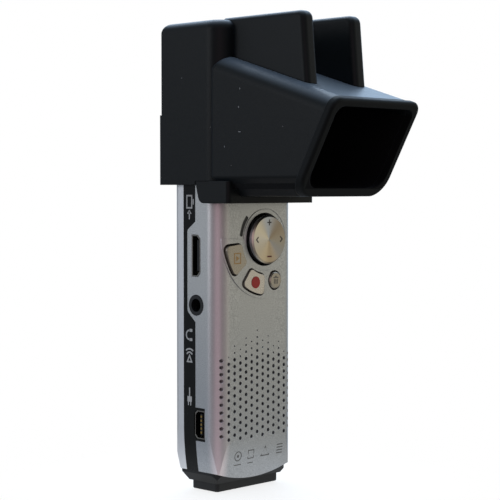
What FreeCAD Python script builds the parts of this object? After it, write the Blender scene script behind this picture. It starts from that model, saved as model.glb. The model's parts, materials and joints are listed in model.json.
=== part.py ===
import FreeCAD, Part
import math
import os
from types import SimpleNamespace

import Sketcher
from FreeCAD import Placement, Rotation, Vector

# A slim pocket camcorder with a viewing hood slid over its upper half.
# Millimetres and degrees. X is the operator's right, Y runs from the operator to the
# subject, Z is up. The origin is the mouth of the tripod socket, in the middle of the foot.
# "depth" is a distance towards the subject, measured from the camcorder's back face.

SIZES = {
    # camcorder body
    "body_width": 30.0,
    "body_depth": 17.0,
    "back_sag": 0.3,
    "back_corner": 4.0,
    "front_corner": 1.5,
    "shell_top": 122.7,
    "body_top": 125.2,
    "top_edge": 0.8,
    "taper_top": 18.0,
    "taper_low": 3.0,
    "taper_inset": 1.6,
    "shell_low_side": 5.4,
    "shell_low_side_inset": 1.14,
    "shell_low_middle": 3.05,
    "wall_inset": 1.6,
    "cavity_low": 9.0,
    "cavity_high": 121.0,
    "stripe_back": 8.8,
    "stripe_front": 13.4,
    "bulge_front": 11.9,
    "bulge_low": 46.2,
    "bulge_low_full": 49.0,
    "bulge_high_full": 71.1,
    "bulge_high": 73.4,
    "bulge_corner": 1.2,
    "side_reach": 5.0,
    "overrun": 3.0,
    # bottom cap, foot and tripod socket
    "cap_bottom": 2.4,
    "cap_half_width": 12.5,
    "cap_chamfer": 2.3,
    "cap_chamfer_run": 1.5,
    "foot_half_width": 12.0,
    "foot_half_depth": 5.0,
    "foot_corner": 1.0,
    "foot_edge": 0.4,
    "tripod_bore": 2.55,
    "tripod_insert": 3.3,
    "tripod_length": 6.4,
    "insert_floor": 1.0,
    "screw_x": 8.2,
    "screw_shank": 0.7,
    "screw_head": 1.3,
    "screw_head_height": 0.9,
    "screw_length": 6.0,
    "screw_slot": 0.35,
    "screw_slot_reach": 0.9,
    "screw_slot_depth": 0.4,
    "screw_recess": 0.5,
    "screw_clearance": 0.15,
    # ports on the left side
    "hdmi_z": 64.2,
    "hdmi_half_length": 5.6,
    "hdmi_half_width": 1.6,
    "hdmi_chamfer": 1.0,
    "port_wall": 0.28,
    "port_gap": 0.1,
    "port_depth": 7.0,
    "port_floor": 0.5,
    "tongue_half": 0.35,
    "tongue_recess": 0.8,
    "tongue_share": 0.75,
    "jack_z": 50.8,
    "jack_ring": 2.75,
    "jack_bore": 1.8,
    "jack_length": 12.0,
    "jack_case": 3.0,
    "jack_proud": 0.1,
    "jack_collar": 2.4,
    "jack_end": 1.0,
    "usb_z": 18.4,
    "usb_depth": 7.3,
    "usb_half_length": 3.85,
    "usb_half_width": 1.95,
    "usb_shoulder": 0.85,
    "usb_recess": 0.2,
    "usb_notch_low": 13.9,
    "usb_notch_high": 23.0,
    "usb_notch_back": 5.2,
    # controls on the back
    "dpad_x": 3.0,
    "dpad_z": 68.4,
    "dpad_radius": 6.65,
    "dpad_recess": 7.3,
    "dpad_proud": 1.8,
    "dpad_edge": 0.45,
    "dpad_dish": 0.25,
    "dpad_underside": 1.2,
    "dpad_boss": 3.0,
    "dpad_boss_height": 0.4,
    "rocker_radius": 2.6,
    "rocker_gap": 0.7,
    "rocker_height": 0.6,
    "groove_inner": 8.25,
    "groove_outer": 8.5,
    "groove_depth": 0.25,
    "status_inner": 8.7,
    "status_outer": 9.8,
    "status_start": 137.0,
    "status_end": 174.0,
    "status_corner": 0.4,
    "status_recess": 0.1,
    "plate_inner": 8.6,
    "plate_outer": 16.3,
    "plate_start": 178.0,
    "plate_end": 281.0,
    "plate_proud": 0.25,
    "play_inner": 9.8,
    "play_outer": 15.5,
    "play_start": 186.0,
    "play_end": 218.5,
    "play_proud": 0.95,
    "record_inner": 9.7,
    "record_outer": 15.1,
    "record_start": 233.0,
    "record_end": 266.0,
    "record_proud": 0.7,
    "record_dot_radius": 1.6,
    "record_dot_height": 0.12,
    "record_dot_seat": 0.4,
    "trash_x": 6.85,
    "trash_z": 57.0,
    "trash_radius": 2.3,
    "trash_proud": 0.55,
    "trash_edge": 0.3,
    "button_gap": 0.45,
    "button_corner": 1.1,
    "button_bottom": 2.5,
    # loudspeaker holes
    "hole_pitch_x": 2.175,
    "hole_pitch_z": 2.13,
    "hole_pitch_upper": 1.85,
    "hole_first_z": 15.7,
    "hole_radius": 0.5,
    # screen
    "screen_half_width": 11.8,
    "screen_low": 84.0,
    "screen_high": 117.0,
    "screen_corner": 1.5,
    "screen_glass": 1.2,
    "screen_recess": 0.15,
    "panel_gap": 0.3,
    "panel_front": 1.8,
    "panel_back": 4.4,
    # inside the case
    "web_gap": 0.5,
    "web_thickness": 0.6,
    "web_left": 12.6,
    "web_right": 10.0,
    "web_low": 51.0,
    "web_high": 75.4,
    "board_depth": 4.6,
    "board_thickness": 1.0,
    "board_half_width": 12.8,
    "board_low": 12.0,
    "board_high": 120.0,
    "board_gap": 0.3,
    "dome_flat": 1.2,
    "dome_radius": 2.0,
    "dome_height": 0.6,
    "dome_shoulder": 0.5,
    "dome_ring": 4.8,
    "speaker_z": 28.7,
    "speaker_radius": 9.5,
    "speaker_magnet": 6.0,
    "speaker_cone": 1.9,
    "speaker_rim": 2.9,
    "speaker_back": 4.4,
    "battery_left": 1.5,
    "battery_right": 12.6,
    "battery_near": 7.0,
    "battery_far": 13.0,
    "battery_low": 26.0,
    "battery_high": 82.0,
    # lens and lamp on the front
    "lens_z": 107.0,
    "lens_barrel": 7.4,
    "lens_proud": 1.6,
    "lens_glass": 5.6,
    "lens_clearance": 0.1,
    "lens_lip": 1.4,
    "lens_length": 6.5,
    "lens_step": 0.6,
    "lens_step_depth": 2.0,
    "lens_edge": 0.4,
    "lens_seat": 1.0,
    "lens_thickness": 0.8,
    "lens_crown": 0.3,
    "lens_cone": 0.8,
    "ring_width": 0.8,
    "ring_recess": 0.2,
    "element_back": 5.2,
    "element_edge_back": 4.4,
    "element_edge_front": 3.4,
    "element_front": 2.8,
    "sensor_half": 8.0,
    "sensor_thickness": 1.5,
    "lamp_z": 92.0,
    "lamp_radius": 1.5,
    "lamp_recess": 0.05,
    "mic_x": 3.6,
    "mic_z": 84.0,
    "mic_hole": 0.5,
    "mic_radius": 1.5,
    "mic_back": 13.4,
    "mic_front": 15.3,
    # hood
    "hood_half_width": 17.0,
    "hood_back": -2.6,
    "hood_front": 20.6,
    "hood_band_proud": 0.6,
    "hood_band_top": 102.3,
    "hood_low": 83.3,
    "hood_low_back": 84.3,
    "hood_top": 127.1,
    "hood_edge": 1.0,
    "hood_top_edge": 2.6,
    "hood_band_reach": 6.0,
    "hood_back_corner": 5.0,
    "hood_wall": 1.7,
    "hood_clearance": 0.25,
    "hood_ceiling": 125.5,
    "hood_port": 9.0,
    "tunnel_half_width": 16.7,
    "tunnel_top": 117.1,
    "tunnel_edge": 4.5,
    "tunnel_inner_edge": 3.3,
    "tunnel_floor": 80.25,
    "tunnel_bevel": 4.95,
    "bevel_round": 1.2,
    "tunnel_inner_corner": 5.5,
    "tunnel_reach": 6.0,
    "mouth_top_depth": -43.3,
    "mouth_top_z": 104.5,
    "mouth_low_depth": -30.0,
    "rim_run_top": 2.2,
    "rim_run_low": 2.5,
    "rim_wall": 2.2,
    "rim_half_width": 17.25,
    "rim_round": 0.9,
    "rim_roof_corner": 3.0,
    "rim_corner": 5.5,
    "rim_inner_corner": 4.0,
    "rim_inner_edge": 2.6,
    "fin_inner": 7.2,
    "fin_outer": 11.7,
    "fin_end": -27.2,
    "fin_end_low": -29.0,
    "fin_top": 127.8,
    "fin_nose": 2.2,
    "fin_edge": 1.5,
    "fin_root": 1.0,
    "fin_reach": 4.0,
    "sleeve_half_width": 16.9,
    "sleeve_back": -5.6,
    "sleeve_low": 78.4,
    "sleeve_front_low": 5.3,
    "sleeve_front": 6.8,
    "sleeve_corner": 2.2,
    "sleeve_back_corner": 1.2,
}

# Holes above the even grid in each column, from the outer column to the middle one.
UPPER_HOLES = [3, 4, 5, 5, 6, 6, 7]
# Their radii in hole radii, from the grid upwards.
UPPER_SHRINK = [1.0, 1.0, 0.95, 0.85, 0.7, 0.55, 0.4]
# The first few above the grid keep their full radius.
EVEN_STEPS = 3
GRID_ROWS = 8
HOLE_COLUMNS = 13
TOLERANCE = 1e-3


class Size:
    """A length or an angle, with the spreadsheet expression that it comes from."""

    def __init__(self, text, value):
        self.text = text
        self.value = value

    def __add__(self, other):
        return Size(f"({self.text} + {text_of(other)})", self.value + value_of(other))

    def __radd__(self, other):
        return self + other

    def __sub__(self, other):
        return Size(f"({self.text} - {text_of(other)})", self.value - value_of(other))

    def __rsub__(self, other):
        return Size(f"({text_of(other)} - {self.text})", value_of(other) - self.value)

    def __mul__(self, other):
        return Size(f"({self.text} * {text_of(other)})", self.value * value_of(other))

    def __rmul__(self, other):
        return self * other

    def __truediv__(self, other):
        return Size(f"({self.text} / {text_of(other)})", self.value / value_of(other))

    def __neg__(self):
        return Size(f"(0 - {self.text})", -self.value)


def text_of(size):
    if isinstance(size, Size):
        return size.text
    return f"({size})"


def value_of(size):
    if isinstance(size, Size):
        return size.value
    return float(size)


def cosine(angle):
    return Size(f"cos({text_of(angle)})", math.cos(math.radians(value_of(angle))))


def sine(angle):
    return Size(f"sin({text_of(angle)})", math.sin(math.radians(value_of(angle))))


ZERO = Size("0", 0.0)


def bind(thing, setting, size):
    """Ties one setting of an object to the spreadsheet."""
    thing.setExpression(setting, text_of(size))


def fill_sheet(document):
    sheet = document.addObject("Spreadsheet::Sheet", "Sizes")
    for row, (name, value) in enumerate(SIZES.items(), start=1):
        sheet.set(f"A{row}", name)
        sheet.set(f"B{row}", str(value))
        sheet.setAlias(f"B{row}", name)
    document.recompute()
    sizes = {name: Size(f"Sizes.{name}", value) for name, value in SIZES.items()}
    return SimpleNamespace(**sizes)


doc = FreeCAD.newDocument("camcorder")
S = fill_sheet(doc)

back_y = S.body_depth * -0.5
half_width = S.body_width / 2


def at(depth):
    """The Y of a depth measured from the camcorder's back face."""
    return back_y + depth


# --- building blocks -------------------------------------------------------------------

PLANE_AXES = {
    "XY": lambda u, v, w: Vector(u, v, w),
    "XZ": lambda u, v, w: Vector(u, w, v),
    "YZ": lambda u, v, w: Vector(w, u, v),
}


def new_sketch(body, plane, name, low, high):
    """A sketch on one of the body's own planes, placed where its pad begins."""
    sketch = body.newObject("Sketcher::SketchObject", name)
    support = [f for f in body.Origin.OriginFeatures if f.Role == plane + "_Plane"][0]
    sketch.AttachmentSupport = [(support, "")]
    sketch.MapMode = "FlatFace"
    start = -high if plane == "XZ" else low
    bind(sketch, "AttachmentOffset.Base.z", start + ZERO)
    return sketch


def arc_between(start, end, radius):
    """The short arc from start to end, bending to the right of the way it runs."""
    middle = (start + end) * 0.5
    along = end - start
    left = Vector(-along.y, along.x, 0).normalize()
    rise = math.sqrt(radius ** 2 - along.Length ** 2 / 4)
    centre = middle + left * rise
    first = math.atan2(start.y - centre.y, start.x - centre.x)
    last = math.atan2(end.y - centre.y, end.x - centre.x)
    return Part.ArcOfCircle(Part.Circle(centre, Vector(0, 0, 1), radius), first, last)


def pin_point(sketch, side, end, axis_point, size, kind, axis):
    """Holds one coordinate of a corner at its size."""
    if abs(axis_point) < TOLERANCE:
        sketch.addConstraint(Sketcher.Constraint("PointOnObject", side, end, axis))
        return
    index = sketch.addConstraint(Sketcher.Constraint(kind, -1, 1, side, end, axis_point))
    sketch.setExpression(f"Constraints[{index}]", text_of(size))


def draw_outline(sketch, corners, arcs):
    """A closed outline, counter-clockwise; arcs maps a side to its radius.

    A negative radius bends the side inwards.
    """
    points = [Vector(value_of(u), value_of(v), 0) for u, v in corners]
    starts = []
    ends = []
    for side, start in enumerate(points):
        end = points[(side + 1) % len(points)]
        radius = value_of(arcs[side]) if side in arcs else 0.0
        if radius > 0:
            sketch.addGeometry(arc_between(start, end, radius), False)
            starts.append(1)
            ends.append(2)
        elif radius < 0:
            sketch.addGeometry(arc_between(end, start, -radius), False)
            starts.append(2)
            ends.append(1)
        else:
            sketch.addGeometry(Part.LineSegment(start, end), False)
            starts.append(1)
            ends.append(2)
    for side, (u, v) in enumerate(corners):
        before = side - 1 if side else len(corners) - 1
        joint = Sketcher.Constraint("Coincident", before, ends[before], side, starts[side])
        sketch.addConstraint(joint)
        pin_point(sketch, side, starts[side], points[side].x, u, "DistanceX", -2)
        pin_point(sketch, side, starts[side], points[side].y, v, "DistanceY", -1)
    for side, radius in arcs.items():
        size = abs(value_of(radius))
        index = sketch.addConstraint(Sketcher.Constraint("Radius", side, size))
        positive = radius if value_of(radius) > 0 else -radius
        sketch.setExpression(f"Constraints[{index}]", text_of(positive))


def edge_names(shape, wanted):
    """Names of the edges whose middle passes the wanted test."""
    names = []
    for number, edge in enumerate(shape.Edges, start=1):
        middle = edge.valueAt((edge.FirstParameter + edge.LastParameter) / 2)
        if wanted(middle):
            names.append(f"Edge{number}")
    return names


def round_off(body, kind, edges, size):
    """Adds a fillet or chamfer to a body; kind is Fillet or Chamfer."""
    base = body.Tip
    feature = body.newObject("PartDesign::" + kind, f"{body.Name}_{kind.lower()}")
    feature.Base = (base, edges)
    bind(feature, "Radius" if kind == "Fillet" else "Size", size)
    doc.recompute()


def prism(
    name, plane, corners, low, high, arcs=None, rounds=(), chamfers=(), caps=(), flanks=()
):
    """A padded outline. rounds and chamfers hold (size, corner numbers) for the edges
    along the pad; caps hold (size, end) for all the edges round one end of it; flanks
    hold (kind, size, side numbers) for the edges of those sides at both ends."""
    low = low + ZERO
    high = high + ZERO
    body = doc.addObject("PartDesign::Body", name)
    sketch = new_sketch(body, plane, name + "_outline", low, high)
    draw_outline(sketch, corners, arcs or {})
    pad = body.newObject("PartDesign::Pad", name + "_pad")
    pad.Profile = sketch
    bind(pad, "Length", high - low)
    doc.recompute()
    middle = (low.value + high.value) / 2
    for kind, jobs in (("Fillet", rounds), ("Chamfer", chamfers)):
        for size, numbers in jobs:
            spots = []
            for number in numbers:
                u, v = corners[number]
                spots.append(PLANE_AXES[plane](value_of(u), value_of(v), middle))
            names = edge_names(body.Shape, lambda p: min((p - s).Length for s in spots) < TOLERANCE)
            round_off(body, kind, names, size)
    for kind, size, sides in flanks:
        spots = []
        for side in sides:
            start = corners[side]
            end = corners[(side + 1) % len(corners)]
            u, v = [(value_of(a) + value_of(b)) / 2 for a, b in zip(start, end)]
            spots += [PLANE_AXES[plane](u, v, w) for w in (low.value, high.value)]
        names = edge_names(body.Shape, lambda p: min((p - s).Length for s in spots) < TOLERANCE)
        round_off(body, kind, names, size)
    for size, end in caps:
        flat = value_of(end)
        pick = {"XY": "z", "XZ": "y", "YZ": "x"}[plane]
        names = []
        for number, edge in enumerate(body.Shape.Edges, start=1):
            ends = [getattr(vertex.Point, pick) for vertex in edge.Vertexes]
            if max(abs(value - flat) for value in ends) < TOLERANCE:
                names.append(f"Edge{number}")
        round_off(body, "Fillet", names, size)
    return body


def block(name, x, y, z):
    """A box between two sizes along each axis."""
    shape = doc.addObject("Part::Box", name)
    for setting, place, (low, high) in (("Length", "x", x), ("Width", "y", y), ("Height", "z", z)):
        bind(shape, setting, high - low + ZERO)
        bind(shape, "Placement.Base." + place, low + ZERO)
    return shape


TURNS = {
    "x": Rotation(Vector(0, 1, 0), 90),
    "y": Rotation(Vector(1, 0, 0), -90),
    "z": Rotation(),
}


def rod(name, axis, radius, start, end, centre):
    """A cylinder along an axis; centre holds its other two coordinates in X, Y, Z order."""
    shape = doc.addObject("Part::Cylinder", name)
    shape.Placement = Placement(Vector(), TURNS[axis])
    bind(shape, "Radius", radius)
    bind(shape, "Height", end - start + ZERO)
    others = [letter for letter in "xyz" if letter != axis]
    bind(shape, "Placement.Base." + axis, start + ZERO)
    for letter, size in zip(others, centre):
        bind(shape, "Placement.Base." + letter, size + ZERO)
    return shape


def turned(name, outline, x, z):
    """A body turned about a Y axis through (x, z); outline holds (radius, y) corners."""
    body = doc.addObject("PartDesign::Body", name)
    sketch = new_sketch(body, "XY", name + "_outline", ZERO, ZERO)
    draw_outline(sketch, outline, {})
    revolution = body.newObject("PartDesign::Revolution", name + "_turn")
    revolution.Profile = sketch
    revolution.ReferenceAxis = (sketch, ["V_Axis"])
    revolution.Angle = 360
    bind(body, "Placement.Base.x", x + ZERO)
    bind(body, "Placement.Base.z", z + ZERO)
    doc.recompute()
    return body


def fuse(name, *parts):
    shape = doc.addObject("Part::MultiFuse", name)
    shape.Shapes = list(parts)
    doc.recompute()
    return shape


def cut(name, base, *tools):
    shape = doc.addObject("Part::Cut", name)
    shape.Base = base
    shape.Tool = tools[0] if len(tools) == 1 else fuse(name + "_tools", *tools)
    doc.recompute()
    return shape


def common(name, *parts):
    shape = doc.addObject("Part::MultiCommon", name)
    shape.Shapes = list(parts)
    doc.recompute()
    return shape


def polar(x, z, radius, angle):
    return (x + radius * cosine(angle), z + radius * sine(angle))


def sector(name, inner, outer, start, end, low, high, gap=ZERO, corner=None):
    """A piece of a ring about the direction pad; gap makes it larger all round."""
    inner = inner - gap
    outer = outer + gap
    middle = (inner + outer) / 2
    spread = gap / middle * (180 / math.pi)
    start = start - spread
    end = end + spread
    corners = [
        polar(S.dpad_x, S.dpad_z, inner, start),
        polar(S.dpad_x, S.dpad_z, outer, start),
        polar(S.dpad_x, S.dpad_z, outer, end),
        polar(S.dpad_x, S.dpad_z, inner, end),
    ]
    rounds = [(corner, [0, 1, 2, 3])] if corner is not None else []
    return prism(name, "XZ", corners, low, high, arcs={1: outer, 3: -inner}, rounds=rounds)


# --- shapes that several parts share ---------------------------------------------------


def body_section(name, grow, low, high, caps=()):
    """The camcorder's plan section, made larger by grow on every side."""
    side = half_width + grow
    back = at(S.back_sag - grow)
    front = at(S.body_depth + grow)
    bow = (side * side + S.back_sag * S.back_sag) / (2 * S.back_sag)
    corners = [(-side, back), (side, back), (side, front), (-side, front)]
    rounds = [(S.back_corner + grow, [0, 1]), (S.front_corner + grow, [2, 3])]
    return prism(name, "XY", corners, low, high, arcs={0: bow}, rounds=rounds, caps=caps)


def body_outer(name, grow):
    """The outside of the silver shells: the section, pinched in towards the bottom."""
    side = half_width + grow
    low_side = side - S.shell_low_side_inset
    drop = S.shell_low_side - S.shell_low_middle
    belly = (low_side * low_side + drop * drop) / (2 * drop)
    rise = S.taper_top - S.shell_low_side
    inset = S.shell_low_side_inset
    flank = (rise * rise + inset * inset) / (2 * inset)
    across = prism(
        name + "_across",
        "XZ",
        [
            (-low_side, S.shell_low_side),
            (low_side, S.shell_low_side),
            (side, S.taper_top),
            (side + S.overrun, S.taper_top),
            (side + S.overrun, S.shell_top),
            (-side - S.overrun, S.shell_top),
            (-side - S.overrun, S.taper_top),
            (-side, S.taper_top),
        ],
        at(-S.overrun),
        at(S.body_depth + S.overrun),
        arcs={0: belly, 1: flank, 7: flank},
    )
    run = S.taper_top - S.taper_low
    slope = (run * run + S.taper_inset * S.taper_inset) / (2 * S.taper_inset)
    back = at(-grow)
    front = at(S.body_depth + grow)
    along = prism(
        name + "_along",
        "YZ",
        [
            (back + S.taper_inset, S.taper_low),
            (front - S.taper_inset, S.taper_low),
            (front, S.taper_top),
            (front + S.overrun, S.taper_top),
            (front + S.overrun, S.shell_top + S.overrun),
            (back - S.overrun, S.shell_top + S.overrun),
            (back - S.overrun, S.taper_top),
            (back, S.taper_top),
        ],
        -side - S.overrun,
        side + S.overrun,
        arcs={1: slope, 7: slope},
    )
    section = body_section(name + "_section", grow, S.taper_low - S.overrun, S.shell_top)
    return common(name, section, across, along)


outer = body_outer("body_outer", ZERO)

cavity_side = half_width - S.wall_inset
cavity = prism(
    "cavity",
    "XY",
    [
        (-cavity_side, at(S.wall_inset)),
        (cavity_side, at(S.wall_inset)),
        (cavity_side, at(S.body_depth - S.wall_inset)),
        (-cavity_side, at(S.body_depth - S.wall_inset)),
    ],
    S.cavity_low,
    S.cavity_high,
    rounds=[(S.back_corner - S.wall_inset, [0, 1]), (S.front_corner / 2, [2, 3])],
)


def finish_node(shape, label):
    """Names the finished part; its label is its file's name."""
    shape.Label = label
    NODES.append(shape)
    return shape


NODES = []

# --- tripod socket and case screws ------------------------------------------------------

insert_end = S.tripod_length + S.insert_floor
insert_hole = rod("insert_hole", "z", S.tripod_insert, -S.overrun, insert_end, (ZERO, ZERO))


def span(base, up, length):
    """The lower and upper end of a length that runs up or down from its base."""
    end = base + length * up
    return (base, end) if up > 0 else (end, base)


def screw(name, x, base, up):
    """One pan-head screw along Z, with a cross recess; up is 1 with its head at the bottom."""
    centre = (x, ZERO)
    head = rod(name + "_head", "z", S.screw_head, *span(base, up, S.screw_head_height), centre)
    shank = rod(name + "_shank", "z", S.screw_shank, *span(base, up, S.screw_length), centre)
    across = S.screw_slot / 2
    deep = span(base, up, S.screw_slot_depth)
    slot_x = block(
        name + "_slot_x", (x - S.screw_slot_reach, x + S.screw_slot_reach), (-across, across), deep
    )
    slot_y = block(
        name + "_slot_y", (x - across, x + across), (-S.screw_slot_reach, S.screw_slot_reach), deep
    )
    return cut(name, fuse(name + "_solid", head, shank), slot_x, slot_y)


def screw_seat(name, x, base, up):
    """The counterbore and pilot hole that a screw sits in."""
    centre = (x, ZERO)
    bore_low, bore_high = span(base, up, S.screw_head_height)
    if up > 0:
        bore_low = bore_low - S.overrun
    else:
        bore_high = bore_high + S.overrun
    bore_radius = S.screw_head + S.screw_clearance
    bore = rod(name + "_bore", "z", bore_radius, bore_low, bore_high, centre)
    pilot = rod(name + "_pilot", "z", S.screw_shank, *span(base, up, S.screw_length), centre)
    return fuse(name, bore, pilot)


foot_recess = S.screw_recess
top_recess = S.body_top - S.screw_recess
screws = [
    screw("screw_foot_left", -S.screw_x, foot_recess, 1),
    screw("screw_foot_right", S.screw_x, foot_recess, 1),
    screw("screw_top_left", -S.screw_x, top_recess, -1),
    screw("screw_top_right", S.screw_x, top_recess, -1),
]
seats = [
    screw_seat("seat_foot_left", -S.screw_x, foot_recess, 1),
    screw_seat("seat_foot_right", S.screw_x, foot_recess, 1),
]
top_seats = [
    screw_seat("seat_top_left", -S.screw_x, top_recess, -1),
    screw_seat("seat_top_right", S.screw_x, top_recess, -1),
]

walls = cut("walls", outer, cavity, insert_hole, *seats, *top_seats)

bulge = prism(
    "port_bulge",
    "YZ",
    [
        (at(S.stripe_back - S.overrun), S.bulge_low),
        (at(S.stripe_back), S.bulge_low),
        (at(S.bulge_front), S.bulge_low_full),
        (at(S.bulge_front), S.bulge_high_full),
        (at(S.stripe_back), S.bulge_high),
        (at(S.stripe_back - S.overrun), S.bulge_high),
    ],
    -half_width - S.overrun,
    -half_width + S.side_reach,
    rounds=[(S.bulge_corner, [2, 3])],
)
usb_patch = block(
    "usb_patch",
    (-half_width - S.overrun, -half_width + S.side_reach),
    (at(S.usb_notch_back), at(S.stripe_back + S.overrun)),
    (S.usb_notch_low, S.usb_notch_high),
)
reach = half_width + S.overrun


def depth_slab(name, low, high):
    """Everything between two depths, to part the walls with."""
    tall = (S.taper_low - S.overrun, S.body_top + S.overrun)
    return block(name, (-reach, reach), (at(low), at(high)), tall)


# --- ports -----------------------------------------------------------------------------


def hdmi_prism(name, grow, start, end):
    """The socket's outline: two bevelled corners on the side towards the back."""
    back = at(S.body_depth / 2 - S.hdmi_half_width - grow)
    front = at(S.body_depth / 2 + S.hdmi_half_width + grow)
    low = S.hdmi_z - S.hdmi_half_length - grow
    high = S.hdmi_z + S.hdmi_half_length + grow
    corners = [(back, low), (front, low), (front, high), (back, high)]
    return prism(name, "YZ", corners, start, end, chamfers=[(S.hdmi_chamfer, [0, 3])])


def usb_prism(name, grow, start, end):
    """The socket's outline: narrower towards the front."""
    back = at(S.usb_depth - S.usb_half_width - grow)
    front = at(S.usb_depth + S.usb_half_width + grow)
    half = S.usb_half_length + grow
    corners = [
        (back, S.usb_z - half),
        (front - S.usb_shoulder, S.usb_z - half),
        (front, S.usb_z - half + S.usb_shoulder),
        (front, S.usb_z + half - S.usb_shoulder),
        (front - S.usb_shoulder, S.usb_z + half),
        (back, S.usb_z + half),
    ]
    return prism(name, "YZ", corners, start, end)


left = -half_width
port_end = left + S.port_depth
port_floor = port_end - S.port_floor
outside = left - S.overrun
hdmi_hole = hdmi_prism("hdmi_hole", S.port_gap, outside, port_end)
usb_hole = usb_prism("usb_hole", S.port_gap, outside, port_end)
jack_centre = (at(S.body_depth / 2), S.jack_z)
jack_hole = rod(
    "jack_hole", "x", S.jack_ring + S.port_gap, outside, left + S.jack_collar, jack_centre
)

hdmi_outer = hdmi_prism("hdmi_outer", ZERO, left, port_end)
hdmi_inner = hdmi_prism("hdmi_inner", -S.port_wall, outside, port_floor)
finish_node(cut("hdmi_shell", hdmi_outer, hdmi_inner), "hdmi_socket")


def tongue(name, depth, z, half_length):
    """The contact blade that stands in the middle of a socket."""
    reach_z = half_length * S.tongue_share
    return block(
        name,
        (left + S.tongue_recess, port_floor),
        (at(depth) - S.tongue_half, at(depth) + S.tongue_half),
        (z - reach_z, z + reach_z),
    )


hdmi_tongue = tongue("hdmi_contacts", S.body_depth / 2, S.hdmi_z, S.hdmi_half_length)
finish_node(hdmi_tongue, "hdmi_tongue")

usb_outer = usb_prism("usb_outer", ZERO, left + S.usb_recess, port_end)
usb_inner = usb_prism("usb_inner", -S.port_wall, outside, port_floor)
finish_node(cut("usb_shell", usb_outer, usb_inner), "usb_socket")
usb_tongue = tongue("usb_contacts", S.usb_depth, S.usb_z, S.usb_half_length)
finish_node(usb_tongue, "usb_tongue")

collar_end = left + S.jack_collar
jack_end = left + S.jack_length + S.jack_end
bore_end = left + S.jack_length - S.jack_proud
jack_ring = rod("jack_ring", "x", S.jack_ring, left - S.jack_proud, collar_end, jack_centre)
jack_case = block(
    "jack_case",
    (collar_end, jack_end),
    (jack_centre[0] - S.jack_case, jack_centre[0] + S.jack_case),
    (S.jack_z - S.jack_case, S.jack_z + S.jack_case),
)
jack_bore = rod("jack_bore", "x", S.jack_bore, outside, bore_end, jack_centre)
finish_node(cut("jack", fuse("jack_solid", jack_ring, jack_case), jack_bore), "av_jack")

# --- silver shells and the black frame between them ------------------------------------

back_slab = depth_slab("back_slab", -S.overrun, S.stripe_back)
back_zone = cut("back_zone", fuse("back_side", back_slab, bulge), usb_patch)
back_blank = common("back_blank", walls, back_zone)

through_low = at(-S.overrun)
through_high = at(S.wall_inset + S.overrun)
pad_centre = (S.dpad_x, S.dpad_z)
dpad_hole = rod("dpad_hole", "y", S.dpad_recess, through_low, through_high, pad_centre)
play_hole = sector(
    "play_hole", S.play_inner, S.play_outer, S.play_start, S.play_end,
    through_low, through_high, S.button_gap, S.button_corner + S.button_gap,
)
record_hole = sector(
    "record_hole", S.record_inner, S.record_outer, S.record_start, S.record_end,
    through_low, through_high, S.button_gap, S.button_corner + S.button_gap,
)
trash_centre = (S.trash_x, S.trash_z)
trash_hole = rod(
    "trash_hole", "y", S.trash_radius + S.button_gap, through_low, through_high, trash_centre
)
status_hole = sector(
    "status_hole", S.status_inner, S.status_outer, S.status_start, S.status_end,
    through_low, through_high, corner=S.status_corner,
)
screen_corners = [
    (-S.screen_half_width, S.screen_low),
    (S.screen_half_width, S.screen_low),
    (S.screen_half_width, S.screen_high),
    (-S.screen_half_width, S.screen_high),
]
screen_hole = prism(
    "screen_hole", "XZ", screen_corners, through_low, through_high,
    rounds=[(S.screen_corner, [0, 1, 2, 3])],
)
groove_disc = rod(
    "groove_disc", "y", S.groove_outer, through_low, at(S.groove_depth), pad_centre
)
groove_core = rod("groove_core", "y", S.groove_inner, through_low, through_high, pad_centre)
groove_half = block(
    "groove_half",
    (S.dpad_x - S.groove_outer, S.dpad_x + S.groove_outer),
    (through_low, through_high),
    (S.dpad_z, S.dpad_z + S.groove_outer),
)
groove = common("groove", cut("groove_ring", groove_disc, groove_core), groove_half)


def speaker_holes():
    """Staggered columns of holes: an even grid, with an arch of fading holes above it."""
    tools = []
    middle = (HOLE_COLUMNS - 1) // 2
    start = through_low.value
    length = through_high.value - start
    for column in range(HOLE_COLUMNS):
        x = (column - middle) * S.hole_pitch_x.value
        z = S.hole_first_z.value
        if column % 2:
            z -= S.hole_pitch_z.value / 2
        spots = [(z + row * S.hole_pitch_z.value, 1.0) for row in range(GRID_ROWS)]
        top = spots[-1][0]
        count = UPPER_HOLES[middle - abs(column - middle)]
        for step in range(count):
            shrink = UPPER_SHRINK[step + len(UPPER_SHRINK) - count]
            fade = shrink if step >= EVEN_STEPS else 1.0
            spots.append((top + (step + 1) * S.hole_pitch_upper.value, fade))
        for height, fade in spots:
            foot = Vector(x, start, height)
            radius = S.hole_radius.value * fade
            tools.append(Part.makeCylinder(radius, length, foot, Vector(0, 1, 0)))
    feature = doc.addObject("Part::Feature", "speaker_drills")
    feature.Shape = Part.makeCompound(tools)
    return feature


finish_node(
    cut(
        "back_cover", back_blank, dpad_hole, play_hole, record_hole, trash_hole, status_hole,
        screen_hole, groove, hdmi_hole, jack_hole, speaker_holes(),
    ),
    "back_shell",
)

front_slab = depth_slab("front_slab", S.stripe_front, S.body_depth + S.overrun)
drill = (at(S.body_depth - S.overrun), at(S.body_depth + S.overrun))
lens_centre = (ZERO, S.lens_z)
lens_hole = rod("lens_hole", "y", S.lens_barrel + S.lens_clearance, *drill, lens_centre)
lamp_centre = (ZERO, S.lamp_z)
lamp_hole = rod("lamp_hole", "y", S.lamp_radius, *drill, lamp_centre)
mic_spots = {"left": (-S.mic_x, S.mic_z), "right": (S.mic_x, S.mic_z)}
mic_holes = [
    rod(f"mic_hole_{side}", "y", S.mic_hole, *drill, spot) for side, spot in mic_spots.items()
]
finish_node(
    cut("front_cover", common("front_blank", walls, front_slab), lens_hole, lamp_hole, *mic_holes),
    "front_shell",
)

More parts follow.
